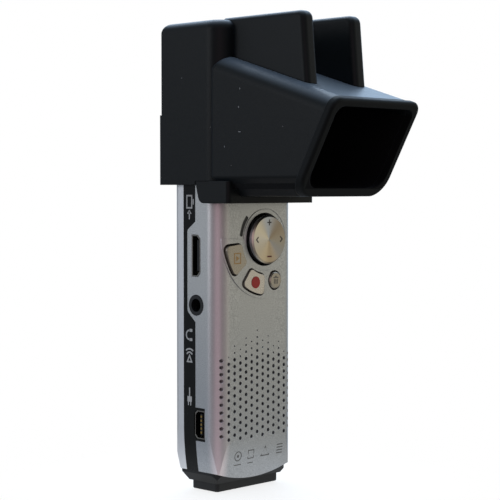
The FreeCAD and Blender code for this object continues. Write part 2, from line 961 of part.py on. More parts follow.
middle_slab = depth_slab("middle_slab", S.stripe_back, S.stripe_front)
middle_zone = fuse("middle_zone", cut("middle_cut", middle_slab, bulge), usb_patch)
finish_node(
    cut("middle_frame", common("middle_blank", walls, middle_zone), usb_hole),
    "side_frame",
)

top_cover = body_section(
    "top_cover", ZERO, S.shell_top, S.body_top, caps=[(S.top_edge, S.body_top)]
)
finish_node(cut("top_cover_cut", top_cover, *top_seats), "top_cap")

# --- bottom cap and foot ----------------------------------------------------------------

cap_side = half_width - S.shell_low_side_inset
cap_drop = S.shell_low_side - S.shell_low_middle
cap_across = prism(
    "cap_across",
    "XZ",
    [
        (-S.cap_half_width, S.cap_bottom),
        (S.cap_half_width, S.cap_bottom),
        (cap_side, S.cap_bottom + S.cap_chamfer),
        (cap_side, S.shell_low_side),
        (-cap_side, S.shell_low_side),
        (-cap_side, S.cap_bottom + S.cap_chamfer),
    ],
    at(ZERO),
    at(S.body_depth),
    arcs={3: -(cap_side * cap_side + cap_drop * cap_drop) / (2 * cap_drop)},
)
cap_back = at(S.taper_inset)
cap_front = at(S.body_depth - S.taper_inset)
cap_along = prism(
    "cap_along",
    "YZ",
    [
        (cap_back + S.cap_chamfer_run, S.cap_bottom),
        (cap_front - S.cap_chamfer_run, S.cap_bottom),
        (cap_front, S.cap_bottom + S.cap_chamfer),
        (cap_front, S.shell_low_side + S.overrun),
        (cap_back, S.shell_low_side + S.overrun),
        (cap_back, S.cap_bottom + S.cap_chamfer),
    ],
    -half_width,
    half_width,
)
cap_section = body_section(
    "cap_section", -S.shell_low_side_inset, S.cap_bottom - S.overrun, S.shell_low_side + S.overrun
)
cap_blank = common("cap_blank", cap_across, cap_along, cap_section)
foot = prism(
    "foot",
    "XY",
    [
        (-S.foot_half_width, -S.foot_half_depth),
        (S.foot_half_width, -S.foot_half_depth),
        (S.foot_half_width, S.foot_half_depth),
        (-S.foot_half_width, S.foot_half_depth),
    ],
    ZERO,
    S.cap_bottom + S.foot_edge,
    rounds=[(S.foot_corner, [0, 1, 2, 3])],
    caps=[(S.foot_edge, ZERO)],
)
bottom = fuse("bottom_solid", cap_blank, foot)
finish_node(cut("bottom_cut", bottom, insert_hole, *seats), "bottom_cap")
insert_outer = rod("insert_outer", "z", S.tripod_insert, ZERO, insert_end, (ZERO, ZERO))
insert_bore = rod(
    "insert_bore", "z", S.tripod_bore, -S.overrun, S.tripod_length, (ZERO, ZERO)
)
finish_node(cut("insert", insert_outer, insert_bore), "tripod_insert")
finish_node(fuse("screws", *screws), "case_screws")

# --- controls on the back ---------------------------------------------------------------

dpad_top = at(-S.dpad_proud)
dpad_base = at(S.dpad_underside)
dpad_outline = [
    (ZERO, dpad_top + S.dpad_dish),
    (S.dpad_radius - S.dpad_edge, dpad_top),
    (S.dpad_radius, dpad_top + S.dpad_edge),
    (S.dpad_radius, dpad_base),
    (S.dpad_boss, dpad_base),
    (S.dpad_boss, dpad_base + S.dpad_boss_height),
    (ZERO, dpad_base + S.dpad_boss_height),
]
finish_node(turned("dpad_disc", dpad_outline, S.dpad_x, S.dpad_z), "dpad_cap")
rocker_low = dpad_base + S.rocker_gap
rocker = rod(
    "rocker", "y", S.rocker_radius, rocker_low, rocker_low + S.rocker_height, pad_centre
)
finish_node(rocker, "dpad_rocker")

plate_outer = body_outer("plate_outer", S.plate_proud)
plate_sector = sector(
    "plate_sector", S.plate_inner, S.plate_outer, S.plate_start, S.plate_end,
    through_low, at(S.back_corner),
)
plate_blank = common("plate_blank", plate_outer, plate_sector)
finish_node(
    cut("plate", plate_blank, outer, play_hole, record_hole, trash_hole),
    "button_plate",
)

button_base = at(S.button_bottom)
play_sector = sector(
    "play_sector", S.play_inner, S.play_outer, S.play_start, S.play_end,
    through_low, button_base, corner=S.button_corner,
)
play_skin = body_section(
    "play_skin", S.play_proud, S.dpad_z - S.play_outer - S.overrun, S.dpad_z + S.overrun
)
finish_node(common("play_key", play_sector, play_skin), "play_button")
record_sector = sector(
    "record_sector", S.record_inner, S.record_outer, S.record_start, S.record_end,
    at(-S.record_proud), button_base, corner=S.button_corner,
)
record_top = at(-S.record_proud)
dot_radius = (S.record_inner + S.record_outer) / 2
dot_centre = polar(S.dpad_x, S.dpad_z, dot_radius, (S.record_start + S.record_end) / 2)
dot_seat = rod(
    "dot_seat", "y", S.record_dot_radius, record_top - S.overrun,
    record_top + S.record_dot_seat, dot_centre,
)
finish_node(cut("record_key", record_sector, dot_seat), "record_button")
record_dot = rod(
    "record_spot", "y", S.record_dot_radius, record_top - S.record_dot_height,
    record_top + S.record_dot_seat, dot_centre,
)
finish_node(record_dot, "record_dot")
trash_outline = [
    (ZERO, at(-S.trash_proud)),
    (S.trash_radius - S.trash_edge, at(-S.trash_proud)),
    (S.trash_radius, at(-S.trash_proud) + S.trash_edge),
    (S.trash_radius, button_base),
    (ZERO, button_base),
]
finish_node(turned("trash_key", trash_outline, S.trash_x, S.trash_z), "trash_button")
status_lens = sector(
    "status_lens", S.status_inner, S.status_outer, S.status_start, S.status_end,
    at(S.status_recess), at(S.wall_inset), corner=S.status_corner,
)
finish_node(status_lens, "status_window")

# --- parts inside the case --------------------------------------------------------------

web_top = at(S.button_bottom + S.web_gap)
key_web = block(
    "key_web", (-S.web_left, S.web_right), (web_top, web_top + S.web_thickness),
    (S.web_low, S.web_high),
)
finish_node(key_web, "button_web")
board_face = at(S.board_depth)
board = block(
    "board", (-S.board_half_width, S.board_half_width),
    (board_face, board_face + S.board_thickness), (S.board_low, S.board_high),
)


def board_notch(name, end, z, half_length):
    """Room in the board for a socket that reaches in from the left."""
    return block(
        name, (left, end + S.board_gap), (board_face - S.overrun, board_face + S.overrun),
        (z - half_length - S.board_gap, z + half_length + S.board_gap),
    )


board_jack = board_notch("board_jack", jack_end, S.jack_z, S.jack_case)
board_usb = board_notch("board_usb", port_end, S.usb_z, S.usb_half_length)
finish_node(cut("board_cut", board, board_jack, board_usb), "main_board")


def dome(name, x, z):
    """A shallow metal snap dome on the board."""
    outline = [
        (ZERO, board_face - S.dome_height),
        (S.dome_flat, board_face - S.dome_shoulder),
        (S.dome_radius, board_face),
        (ZERO, board_face),
    ]
    return turned(name, outline, x, z)


play_middle = polar(
    S.dpad_x, S.dpad_z, (S.play_inner + S.play_outer) / 2, (S.play_start + S.play_end) / 2
)
dome_spots = [play_middle, dot_centre, trash_centre]
for quarter in (0, 90, 180, 270):
    dome_spots.append(polar(S.dpad_x, S.dpad_z, S.dome_ring, quarter))
domes = [dome(f"dome_{number}", x, z) for number, (x, z) in enumerate(dome_spots)]
finish_node(fuse("domes", *domes), "dome_switches")

speaker_outline = [
    (ZERO, at(S.speaker_cone)),
    (S.speaker_radius, at(S.speaker_cone)),
    (S.speaker_radius, at(S.speaker_rim)),
    (S.speaker_magnet, at(S.speaker_back)),
    (ZERO, at(S.speaker_back)),
]
finish_node(turned("speaker_unit", speaker_outline, ZERO, S.speaker_z), "speaker")

screen_glass = prism(
    "screen_glass", "XZ", screen_corners,
    at(S.screen_recess), at(S.screen_recess + S.screen_glass),
    rounds=[(S.screen_corner, [0, 1, 2, 3])],
)
finish_node(screen_glass, "screen_window")
panel_half = S.screen_half_width - S.panel_gap
screen_panel = block(
    "screen_panel", (-panel_half, panel_half), (at(S.panel_front), at(S.panel_back)),
    (S.screen_low + S.panel_gap, S.screen_high - S.panel_gap),
)
finish_node(screen_panel, "lcd_panel")

battery = block(
    "battery_pack", (-S.battery_left, S.battery_right), (at(S.battery_near), at(S.battery_far)),
    (S.battery_low, S.battery_high),
)
finish_node(battery, "battery")
for side, spot in mic_spots.items():
    capsule = rod(f"mic_{side}", "y", S.mic_radius, at(S.mic_back), at(S.mic_front), spot)
    finish_node(capsule, f"microphone_{side}")

# --- lens -------------------------------------------------------------------------------

front = S.body_depth
lens_face = at(front + S.lens_proud)
lens_back = at(front - S.lens_length)
lens_bore = S.lens_glass - S.lens_lip
ring_radius = S.lens_glass + S.ring_width
seat = lens_face - S.lens_seat
glass_back = seat - S.lens_thickness
barrel_outline = [
    (lens_bore, lens_back),
    (S.lens_barrel - S.lens_step, lens_back),
    (S.lens_barrel - S.lens_step, at(front - S.lens_step_depth)),
    (S.lens_barrel, at(front - S.lens_step_depth)),
    (S.lens_barrel, lens_face - S.lens_edge),
    (S.lens_barrel - S.lens_edge, lens_face),
    (ring_radius, lens_face),
    (ring_radius, seat),
    (S.lens_glass, seat),
    (S.lens_glass, glass_back),
    (lens_bore, glass_back - S.lens_cone),
]
finish_node(turned("barrel", barrel_outline, *lens_centre), "lens_barrel")
glass_outline = [
    (ZERO, glass_back),
    (S.lens_glass, glass_back),
    (S.lens_glass, seat),
    (ZERO, seat + S.lens_crown),
]
finish_node(turned("glass", glass_outline, *lens_centre), "lens_glass")
element_outline = [
    (ZERO, at(front - S.element_back)),
    (lens_bore, at(front - S.element_edge_back)),
    (lens_bore, at(front - S.element_edge_front)),
    (ZERO, at(front - S.element_front)),
]
finish_node(turned("element", element_outline, *lens_centre), "lens_inner_element")
ring = cut(
    "ring_cut",
    rod("ring_outer", "y", ring_radius, seat, lens_face - S.ring_recess, lens_centre),
    rod("ring_inner", "y", S.lens_glass, at(front), at(front + S.overrun), lens_centre),
)
finish_node(ring, "lens_ring")
sensor = block(
    "sensor", (-S.sensor_half, S.sensor_half), (lens_back - S.sensor_thickness, lens_back),
    (S.lens_z - S.sensor_half, S.lens_z + S.sensor_half),
)
finish_node(sensor, "sensor_board")
lamp = rod(
    "lamp", "y", S.lamp_radius, at(front - S.wall_inset), at(front - S.lamp_recess), lamp_centre
)
finish_node(lamp, "record_lamp")

# --- hood -------------------------------------------------------------------------------

hood_side = S.hood_half_width
box_corners = [
    (-hood_side, at(S.hood_back)),
    (hood_side, at(S.hood_back)),
    (hood_side, at(S.hood_front)),
    (-hood_side, at(S.hood_front)),
]
hood_box = prism(
    "hood_box", "XY", box_corners, S.hood_low, S.hood_top,
    rounds=[(S.hood_back_corner, [0, 1]), (S.hood_edge, [2, 3])],
    caps=[(S.hood_top_edge, S.hood_top)],
)
band_corners = [
    (-hood_side, at(S.hood_front - S.hood_band_reach)),
    (hood_side, at(S.hood_front - S.hood_band_reach)),
    (hood_side, at(S.hood_front + S.hood_band_proud)),
    (-hood_side, at(S.hood_front + S.hood_band_proud)),
]
hood_band = prism(
    "hood_band", "XY", band_corners, S.hood_low, S.hood_band_top,
    rounds=[(S.hood_edge, [2, 3])],
)


def tunnel_top_at(depth):
    """Height of the tunnel's roof at a depth, along the line from mouth to box."""
    slope = (S.tunnel_top - S.mouth_top_z) / (S.hood_back - S.mouth_top_depth)
    return S.mouth_top_z + slope * (depth - S.mouth_top_depth)


FLOOR_SIDE = 0
ROOF_SIDE = 2


def channel(name, half, inset, roof_edge, low_corner, low_mouth, top_mouth, low_end, top_end):
    """A length of the tunnel between two depths on its floor and two on its roof. inset
    moves its roof and floor inwards, roof_edge rounds its upper edges and low_corner is
    what its lower edges get."""
    floor = S.tunnel_floor + inset
    corners = [
        (at(low_mouth), floor),
        (at(low_end), floor),
        (at(top_end), tunnel_top_at(top_end) - inset),
        (at(top_mouth), tunnel_top_at(top_mouth) - inset),
    ]
    kind, size = low_corner
    flanks = [("Fillet", roof_edge, [ROOF_SIDE]), (kind, size, [FLOOR_SIDE])]
    return prism(name, "YZ", corners, -half, half, flanks=flanks)


tunnel_end = S.hood_back + S.tunnel_reach
rim_back_low = S.mouth_low_depth + S.rim_run_low
rim_back_top = S.mouth_top_depth + S.rim_run_top
tunnel = channel(
    "tunnel", S.tunnel_half_width, ZERO, S.tunnel_edge, ("Chamfer", S.tunnel_bevel),
    rim_back_low, rim_back_top, tunnel_end, tunnel_end,
)
bevel_edges = [
    (S.tunnel_half_width, S.tunnel_floor + S.tunnel_bevel),
    (S.tunnel_half_width - S.tunnel_bevel, S.tunnel_floor),
]


def on_bevel(point):
    """Whether a point lies on one of the long edges of the tunnel's bevels."""
    return any(
        math.hypot(abs(point.x) - x.value, point.z - z.value) < TOLERANCE for x, z in bevel_edges
    )


round_off(tunnel, "Fillet", edge_names(tunnel.Shape, on_bevel), S.bevel_round)
tunnel_inside = channel(
    "tunnel_inside", S.tunnel_half_width - S.hood_wall, S.hood_wall,
    S.tunnel_inner_edge, ("Fillet", S.tunnel_inner_corner),
    S.mouth_low_depth - S.overrun, S.mouth_top_depth - S.overrun, tunnel_end, tunnel_end,
)
rim_long = channel(
    "rim_long", S.rim_half_width, ZERO, S.rim_roof_corner, ("Fillet", S.rim_corner),
    S.mouth_low_depth, S.mouth_top_depth, tunnel_end, tunnel_end,
)
mouth_low = Vector(0, at(S.mouth_low_depth).value, S.tunnel_floor.value)
mouth_top = Vector(0, at(S.mouth_top_depth).value, S.mouth_top_z.value)
mouth_normal = (mouth_top - mouth_low).cross(Vector(1, 0, 0)).normalize()


def edges_on_mouth(shape):
    """Names of the edges that lie in the plane of the tunnel's mouth."""
    names = []
    for number, edge in enumerate(shape.Edges, start=1):
        spots = [edge.valueAt(edge.FirstParameter), edge.valueAt(edge.LastParameter)]
        if max(abs((spot - mouth_low).dot(mouth_normal)) for spot in spots) < TOLERANCE:
            names.append(f"Edge{number}")
    return names


round_off(rim_long, "Fillet", edges_on_mouth(rim_long.Shape), S.rim_round)
rim_slab = prism(
    "rim_slab", "YZ",
    [
        (at(S.mouth_low_depth - S.overrun), S.tunnel_floor),
        (at(rim_back_low), S.tunnel_floor),
        (at(rim_back_top), tunnel_top_at(rim_back_top)),
        (at(S.mouth_top_depth - S.overrun), tunnel_top_at(rim_back_top)),
    ],
    -hood_side - S.overrun, hood_side + S.overrun,
)
rim_blank = common("rim_blank", rim_long, rim_slab)
rim_inside = channel(
    "rim_inside", S.rim_half_width - S.rim_wall, S.rim_wall,
    S.rim_inner_edge, ("Fillet", S.rim_inner_corner),
    S.mouth_low_depth - S.overrun, S.mouth_top_depth - S.overrun, tunnel_end, tunnel_end,
)
finish_node(cut("rim_ring", rim_blank, rim_inside), "hood_rim")


def fin(name, low_x, high_x):
    """One upright rib on the tunnel's roof, from the box to just short of the mouth; its
    end leans out towards the roof."""
    root = tunnel_top_at(S.fin_end_low) - S.fin_root
    fin_back = at(S.hood_back + S.fin_reach)
    profile = [
        (at(S.fin_end_low), root),
        (fin_back, root),
        (fin_back, S.fin_top),
        (at(S.fin_end), S.fin_top),
    ]
    body = prism(name, "YZ", profile, low_x, high_x, rounds=[(S.fin_nose, [3])])

    def on_outer_edge(point):
        across = min(abs(point.x - x.value) for x in (low_x, high_x))
        clear = point.z > root.value + TOLERANCE and point.y < fin_back.value - TOLERANCE
        return across < TOLERANCE and clear

    round_off(body, "Fillet", edge_names(body.Shape, on_outer_edge), S.fin_edge)
    return body


fins = [
    fin("fin_left", -S.fin_outer, -S.fin_inner),
    fin("fin_right", S.fin_inner, S.fin_outer),
]
pocket_side = half_width + S.hood_clearance
pocket = block(
    "hood_pocket",
    (-pocket_side, pocket_side),
    (at(-S.hood_clearance), at(S.hood_front - S.hood_wall)),
    (S.sleeve_low - S.overrun, S.hood_ceiling),
)
box_relief = block(
    "box_relief",
    (-hood_side - S.overrun, hood_side + S.overrun),
    (at(S.hood_back - S.overrun), at(S.sleeve_front)),
    (S.hood_low - S.overrun, S.hood_low_back),
)
port_hole = rod(
    "port_hole", "y", S.hood_port, at(S.hood_front - S.overrun), at(S.hood_front + S.overrun),
    lens_centre,
)
box_blank = cut("box_blank", fuse("box_solid", hood_box, hood_band), box_relief)
finish_node(cut("hood_cover", box_blank, tunnel_inside, pocket, port_hole), "hood_shell")
finish_node(cut("tunnel_tube", tunnel, tunnel_inside, pocket, box_blank), "hood_tunnel")
finish_node(cut("fin_pair", fuse("fin_solids", *fins), tunnel, box_blank), "hood_fins")

sleeve_side = S.sleeve_half_width
sleeve_plan = prism(
    "sleeve_plan", "XY",
    [
        (-sleeve_side, at(S.sleeve_back)),
        (sleeve_side, at(S.sleeve_back)),
        (sleeve_side, at(S.sleeve_front + S.overrun)),
        (-sleeve_side, at(S.sleeve_front + S.overrun)),
    ],
    S.sleeve_low - S.overrun, S.hood_low_back,
    rounds=[(S.sleeve_back_corner, [0, 1])],
)
sleeve_profile = prism(
    "sleeve_profile", "YZ",
    [
        (at(S.sleeve_back - S.overrun), S.sleeve_low),
        (at(S.sleeve_front_low), S.sleeve_low),
        (at(S.sleeve_front), S.hood_low_back),
        (at(S.sleeve_back - S.overrun), S.hood_low_back),
    ],
    -sleeve_side - S.overrun, sleeve_side + S.overrun,
    rounds=[(S.sleeve_corner, [1])],
)
sleeve_blank = common("sleeve_blank", sleeve_plan, sleeve_profile)
finish_node(cut("sleeve", sleeve_blank, pocket, tunnel), "hood_sleeve")

# --- check and write --------------------------------------------------------------------

doc.recompute()
for thing in doc.Objects:
    if "Invalid" in thing.State or "Error" in thing.State:
        raise RuntimeError(f"{thing.Name} failed: {thing.State}")
for node in NODES:
    if node.Shape.isNull() or not node.Shape.isValid():
        raise RuntimeError(f"{node.Label} has a broken shape")
    if not node.Shape.Solids:
        raise RuntimeError(f"{node.Label} holds no solid")
os.makedirs("parts", exist_ok=True)
for node in NODES:
    node.Shape.exportStep(f"parts/{node.Label}.step")
    print(f"{node.Label}: {len(node.Shape.Solids)} solids, {node.Shape.Volume:.1f} mm3")
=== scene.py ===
import json
import math
import random

import bmesh
import bpy
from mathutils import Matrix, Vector
from mathutils.bvhtree import BVHTree


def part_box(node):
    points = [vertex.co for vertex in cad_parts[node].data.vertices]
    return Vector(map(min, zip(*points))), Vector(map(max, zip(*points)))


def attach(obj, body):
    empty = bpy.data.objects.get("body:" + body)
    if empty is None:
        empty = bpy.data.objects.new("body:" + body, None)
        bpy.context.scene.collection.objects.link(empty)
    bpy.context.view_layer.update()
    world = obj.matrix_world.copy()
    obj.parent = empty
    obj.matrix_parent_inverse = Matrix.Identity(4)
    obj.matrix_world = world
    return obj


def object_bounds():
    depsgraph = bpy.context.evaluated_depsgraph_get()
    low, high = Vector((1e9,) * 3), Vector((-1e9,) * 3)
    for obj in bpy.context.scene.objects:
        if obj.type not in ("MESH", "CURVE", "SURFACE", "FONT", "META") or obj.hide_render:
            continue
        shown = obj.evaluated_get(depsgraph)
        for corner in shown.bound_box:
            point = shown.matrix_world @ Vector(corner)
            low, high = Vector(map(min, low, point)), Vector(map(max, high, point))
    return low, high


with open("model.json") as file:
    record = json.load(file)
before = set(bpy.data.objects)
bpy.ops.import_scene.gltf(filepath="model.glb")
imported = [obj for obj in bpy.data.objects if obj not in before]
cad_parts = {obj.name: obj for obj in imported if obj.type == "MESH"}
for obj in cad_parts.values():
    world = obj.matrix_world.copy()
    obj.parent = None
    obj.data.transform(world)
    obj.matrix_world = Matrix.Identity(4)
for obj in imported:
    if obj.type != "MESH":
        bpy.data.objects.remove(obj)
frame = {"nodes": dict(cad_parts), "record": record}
cad_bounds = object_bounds()
nodes = frame["nodes"]

MM = 0.001


def middle_of(name):
    low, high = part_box(name)
    return (low + high) / 2


# --- material building ------------------------------------------------------------------


# The colour sockets of a Mix node, which share their names with its other sockets.
MIX_FIRST = 6
MIX_SECOND = 7
MIX_RESULT = 2

BEVEL_SAMPLES = 6


class Surface:
    """A node material under construction; its methods return output sockets."""

    def __init__(self, name):
        self.material = bpy.data.materials.new(name)
        self.material.use_nodes = True
        self.tree = self.material.node_tree
        self.shader = self.tree.nodes["Principled BSDF"]
        self.place = self.node("ShaderNodeTexCoord").outputs["Object"]

    def node(self, kind, **settings):
        made = self.tree.nodes.new(kind)
        for key, value in settings.items():
            setattr(made, key, value)
        return made

    def feed(self, socket, value):
        """Links a socket, or sets it where the value is a plain one."""
        if isinstance(value, bpy.types.NodeSocket):
            self.tree.links.new(value, socket)
        elif isinstance(value, tuple) and len(value) == 3 and socket.type == "RGBA":
            socket.default_value = (*value, 1.0)
        else:
            socket.default_value = value

    def set(self, **values):
        """Sets the shader's inputs: base_color=... feeds Base Color, and so on."""
        names = {socket.name.lower().replace(" ", "_"): socket for socket in self.shader.inputs}
        for key, value in values.items():
            self.feed(names[key], value)

    def calc(self, operation, first, second=0.0, third=0.0):
        made = self.node("ShaderNodeMath", operation=operation)
        for socket, value in zip(made.inputs, (first, second, third)):
            self.feed(socket, value)
        return made.outputs[0]

    def times(self, first, second):
        return self.calc("MULTIPLY", first, second)

    def scaled(self, value, gain, offset):
        """value times gain, plus offset."""
        return self.calc("MULTIPLY_ADD", value, gain, offset)

    def radius(self, across, up):
        """The distance from a middle, given the distances across and up from it."""
        squares = self.calc("ADD", self.times(across, across), self.times(up, up))
        return self.calc("SQRT", squares)

    def axes(self):
        made = self.node("ShaderNodeSeparateXYZ")
        self.feed(made.inputs[0], self.place)
        return made.outputs[0], made.outputs[1], made.outputs[2]

    def noise(self, scale, detail=2.0, at=None, dimensions="3D"):
        made = self.node("ShaderNodeTexNoise", noise_dimensions=dimensions)
        made.inputs["Scale"].default_value = scale
        made.inputs["Detail"].default_value = detail
        self.feed(made.inputs["W" if dimensions == "1D" else "Vector"], at or self.place)
        return made.outputs["Fac"]

    def ramp(self, value, stops, blend="LINEAR"):
        made = self.node("ShaderNodeValToRGB")
        made.color_ramp.interpolation = blend
        elements = made.color_ramp.elements
        while len(elements) < len(stops):
            elements.new(0.5)
        for element, (place, colour) in zip(elements, stops):
            element.position = place
            element.color = (*colour, 1.0)
        self.feed(made.inputs["Fac"], value)
        return made.outputs["Color"]

    def step(self, value, low, high):
        """0 below low, 1 above high, smooth between them."""
        made = self.node("ShaderNodeMapRange", interpolation_type="SMOOTHSTEP")
        made.inputs["From Min"].default_value = low
        made.inputs["From Max"].default_value = high
        self.feed(made.inputs["Value"], value)
        return made.outputs["Result"]

    def mix(self, share, first, second):
        made = self.node("ShaderNodeMix", data_type="RGBA")
        self.feed(made.inputs["Factor"], share)
        self.feed(made.inputs[MIX_FIRST], first)
        self.feed(made.inputs[MIX_SECOND], second)
        return made.outputs[MIX_RESULT]

    def relief(self, height, distance, strength=1.0, edge=0.0):
        """Bumps the surface, with its sharp edges softened over the given radius."""
        made = self.node("ShaderNodeBump")
        made.inputs["Distance"].default_value = distance
        made.inputs["Strength"].default_value = strength
        self.feed(made.inputs["Height"], height)
        if edge:
            soft = self.node("ShaderNodeBevel", samples=BEVEL_SAMPLES)
            soft.inputs["Radius"].default_value = edge
            self.feed(made.inputs["Normal"], soft.outputs["Normal"])
        self.feed(self.shader.inputs["Normal"], made.outputs["Normal"])


def shaded(colour, share):
    return tuple(part * share for part in colour)


def silver_paint():
    """Satin metallic paint: bluer low down, palest in front, with a painted pink reflection along
    the left corner.
    """
    blue_grey = (0.31, 0.345, 0.405)
    pale_grey = (0.93, 0.94, 0.95)
    pink_reflection_tone = (0.93, 0.82, 0.84)
    blue_starts = 62 * MM
    blue_ends = 8 * MM
    s = Surface("silver_paint")
    x, y, z = s.axes()
    flake = s.noise(scale=4600, detail=3.0)
    cloud = s.noise(scale=120, detail=2.0)
    colour = s.ramp(flake, [(0.38, (0.47, 0.475, 0.465)), (0.62, (0.79, 0.80, 0.79))])
    low_end = s.step(z, blue_starts, blue_ends)
    colour = s.mix(s.times(low_end, 0.45), colour, blue_grey)
    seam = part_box("side_frame")[1].y
    colour = s.mix(s.step(y, seam - 0.4 * MM, seam), colour, pale_grey)
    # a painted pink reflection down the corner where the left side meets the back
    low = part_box("back_shell")[0]
    along = s.step(x, low.x + 5.2 * MM, low.x + 1.8 * MM)
    across = s.step(y, low.y + 5.0 * MM, low.y + 1.4 * MM)
    corner = s.times(s.times(along, across), 0.75)
    s.set(base_color=s.mix(corner, colour, pink_reflection_tone), metallic=0.75)
    s.set(roughness=s.scaled(cloud, 0.06, 0.37))
    s.relief(flake, distance=0.02 * MM, strength=0.35, edge=0.12 * MM)
    return s.material


def key_silver():
    """The keys' satin coat with painted light and shade: palest on the middle one, warmer and
    darker on its neighbours.
    """
    shaded_outer_tone = (0.44, 0.39, 0.31)
    lit_middle_tone = (0.74, 0.68, 0.60)
    flake_tone = (0.80, 0.76, 0.70)
    s = Surface("key_silver")
    away = s.node("ShaderNodeVectorMath", operation="DISTANCE")
    s.feed(away.inputs[0], s.place)
    away.inputs[1].default_value = middle_of("record_button")
    flake = s.noise(scale=7000, detail=3.0)
    # painted light on the middle key, painted shade on its neighbours
    lit_share = s.step(away.outputs["Value"], 6.5 * MM, 3.5 * MM)
    colour = s.mix(lit_share, shaded_outer_tone, lit_middle_tone)
    colour = s.mix(s.times(flake, 0.25), colour, flake_tone)
    s.set(base_color=colour, metallic=0.75, roughness=s.scaled(flake, 0.05, 0.25))
    s.relief(flake, distance=0.02 * MM, strength=0.35, edge=0.12 * MM)
    return s.material


def black_gloss():
    s = Surface("black_gloss")
    smear = s.noise(scale=260, detail=3.0)
    s.set(base_color=(0.007, 0.0075, 0.0065), roughness=s.scaled(smear, 0.12, 0.16))
    s.set(specular_ior_level=0.2)
    s.relief(s.noise(scale=1500, detail=2.0), distance=0.01 * MM, strength=0.2, edge=0.1 * MM)
    return s.material


def black_matte(name, shade, grain_scale=4200):
    s = Surface(name)
    grain = s.noise(scale=grain_scale, detail=4.0)
    tint = s.ramp(grain, [(0.35, shaded(shade, 0.8)), (0.65, shaded(shade, 1.2))])
    s.set(base_color=tint, roughness=s.scaled(grain, 0.15, 0.4))
    s.set(specular_ior_level=0.28)
    s.relief(grain, distance=0.05 * MM, strength=0.5, edge=0.15 * MM)
    return s.material


def hood_plastic():
    """Finely grained charcoal plastic: painted black as shade where light never reaches, and with a
    painted pale bluish sheen on its upward faces, short of the lip."""
    grain_dark = (0.0016, 0.0026, 0.0029)
    grain_pale = (0.0042, 0.0058, 0.0062)
    mottle_tone = (0.006, 0.0078, 0.0083)
    painted_sheen_tone = (0.115, 0.145, 0.180)
    unlit = (0.0012, 0.0012, 0.0012)
    wall = 1.9 * MM
    lip_run = 2.5 * MM
    lip_rough = 0.62
    s = Surface("hood_plastic")
    x, y, z = s.axes()
    grain = s.noise(scale=3600, detail=4.0)
    mottle = s.noise(scale=300, detail=3.0)
    shade = s.ramp(grain, [(0.35, grain_dark), (0.65, grain_pale)])
    shade = s.mix(s.times(mottle, 0.25), shade, mottle_tone)

    # where the tunnel is hollow: between its walls, over its floor and under its roof
    lip_low, lip_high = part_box("hood_rim")
    roof_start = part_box("hood_shell")[1].y
    roof_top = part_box("hood_tunnel")[1].z
    side = s.calc("ABSOLUTE", x)
    inside = s.step(side, lip_high.x - 0.95 * wall, lip_high.x - 1.15 * wall)
    above_floor = s.step(z, lip_low.z + 0.9 * wall, lip_low.z + 1.1 * wall)
    slope = (roof_top - lip_high.z) / (roof_start - lip_low.y) * 1.05
    run = s.calc("SUBTRACT", y, lip_low.y)
    roof = s.scaled(run, slope, lip_high.z - 2.2 * wall)
    below_roof = s.step(s.calc("SUBTRACT", roof, z), 0, 0.6 * MM)
    hollow = s.times(s.times(inside, above_floor), below_roof)

    # where the painted sheen lies: facing up, behind the leaning lip and not in the hollow
    lean = (lip_high.y - lip_run - lip_low.y) / (lip_high.z - lip_low.z)
    behind = s.calc("ADD", run, s.scaled(z, lean, -lip_high.z * lean))
    off_lip = s.step(behind, 2.2 * MM, 2.6 * MM)
    normal = s.node("ShaderNodeSeparateXYZ")
    s.feed(normal.inputs[0], s.node("ShaderNodeNewGeometry").outputs["Normal"])
    upward = s.step(normal.outputs["Z"], 0.35, 0.95)
    painted_sheen_share = s.times(s.times(upward, off_lip), s.calc("SUBTRACT", 1.0, hollow))
    patchy = s.scaled(mottle, 0.3, 0.7)
    # painted sheen: the upward faces are painted a pale bluish tone
    shade = s.mix(s.times(painted_sheen_share, patchy), shade, painted_sheen_tone)

    s.set(base_color=s.mix(hollow, shade, unlit))
    rough = s.scaled(grain, 0.16, 0.34)
    rough = s.calc("MAXIMUM", rough, s.scaled(off_lip, -lip_rough, lip_rough))
    s.set(roughness=s.calc("MAXIMUM", rough, s.times(hollow, 0.9)))
    s.set(specular_ior_level=0.24, sheen_weight=0.08, sheen_roughness=0.45)
    s.set(sheen_tint=(0.62, 0.80, 1.0))
    s.relief(grain, distance=0.06 * MM, strength=0.55, edge=0.35 * MM)
    return s.material


# Painted reflections on the disc: its colours round its middle, by the share of a turn from its
# left.
PAINTED_REFLECTION_WEDGES = [
    (0.00, (0.70, 0.64, 0.55)),
    (0.12, (0.62, 0.52, 0.37)),
    (0.19, (0.80, 0.64, 0.40)),
    (0.25, (0.42, 0.29, 0.14)),
    (0.31, (0.60, 0.46, 0.30)),
    (0.37, (0.30, 0.31, 0.34)),
    (0.46, (0.36, 0.31, 0.23)),
    (0.56, (0.35, 0.27, 0.17)),
    (0.64, (0.26, 0.17, 0.08)),
    (0.71, (0.42, 0.40, 0.38)),
    (0.78, (0.50, 0.57, 0.68)),
    (0.84, (0.62, 0.55, 0.44)),
    (0.90, (0.86, 0.74, 0.52)),
    (1.00, (0.70, 0.64, 0.55)),
]


